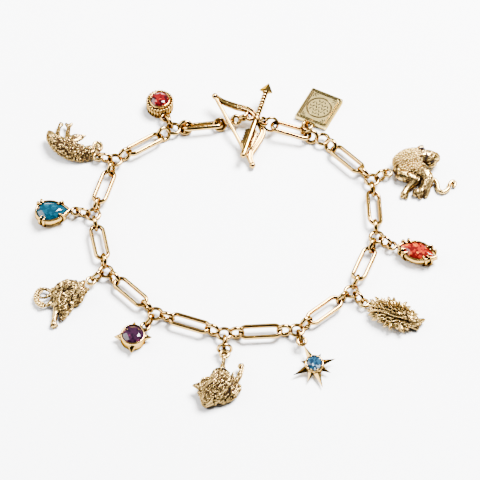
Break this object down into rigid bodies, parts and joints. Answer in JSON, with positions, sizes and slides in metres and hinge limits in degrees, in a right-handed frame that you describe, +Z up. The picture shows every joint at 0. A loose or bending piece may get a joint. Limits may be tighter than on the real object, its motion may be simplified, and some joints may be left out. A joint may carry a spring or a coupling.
{
  "type": "charm bracelet",
  "caption": "Gold-coloured charm bracelet of long oval links and small rings, with animal, gemstone and star charms, closed by a bow-and-arrow toggle clasp.",
  "frame": {"origin": "centre of the bracelet's outer rectangle in plan, on the surface that it lies on", "axes": "+Z up from the surface; +Y away from the viewer towards the toggle clasp; +X to the viewer's right"},
  "size_m": [0.09, 0.0814, 0.0053],
  "materials": {
    "gold": "polished gold plate",
    "antique_gold": "soft pale gold, dark in its recesses",
    "red_stone": "faceted and polished",
    "blue_stone": "faceted and polished",
    "purple_stone": "faceted and polished",
    "pale_blue_stone": "faceted and polished",
    "orange_stone": "faceted and polished"
  },
  "bodies": {
    "root": {"long_link_01": "gold", "long_link_02": "gold", "long_link_03": "gold", "long_link_04": "gold", "long_link_05": "gold", "long_link_06": "gold", "long_link_07": "gold", "long_link_08": "gold", "long_link_09": "gold", "long_link_10": "gold", "long_link_11": "gold", "long_link_12": "gold", "junction_rings_01": "gold", "junction_rings_02": "gold", "junction_rings_03": "gold", "junction_rings_04": "gold", "junction_rings_05": "gold", "junction_rings_06": "gold", "junction_rings_07": "gold", "junction_rings_08": "gold", "junction_rings_09": "gold", "junction_rings_10": "gold", "junction_rings_11": "gold", "jump_ring_01": "gold", "jump_ring_02": "gold", "jump_ring_03": "gold", "jump_ring_04": "gold", "jump_ring_05": "gold", "jump_ring_06": "gold", "jump_ring_06b": "gold", "jump_ring_07": "gold", "jump_ring_08": "gold", "jump_ring_09": "gold", "jump_ring_10": "gold", "jump_ring_11": "gold", "clasp_bow": "gold", "clasp_arrow": "gold", "clasp_rings_left": "gold", "clasp_link_right": "gold", "clasp_ring_right": "gold", "round_charm_setting": "gold", "round_charm_stone": "red_stone", "coiled_tail_charm": "antique_gold", "pear_charm_setting": "gold", "pear_charm_stone": "blue_stone", "curled_tail_charm": "antique_gold", "spiked_charm_setting": "gold", "spiked_charm_stone": "purple_stone", "boar_charm": "antique_gold", "star_charm_setting": "gold", "star_charm_stone": "pale_blue_stone", "spiny_charm": "antique_gold", "marquise_charm_setting": "gold", "marquise_charm_stone": "orange_stone", "lion_charm": "antique_gold", "plaque_charm": "antique_gold"}
  },
  "joints": []
}
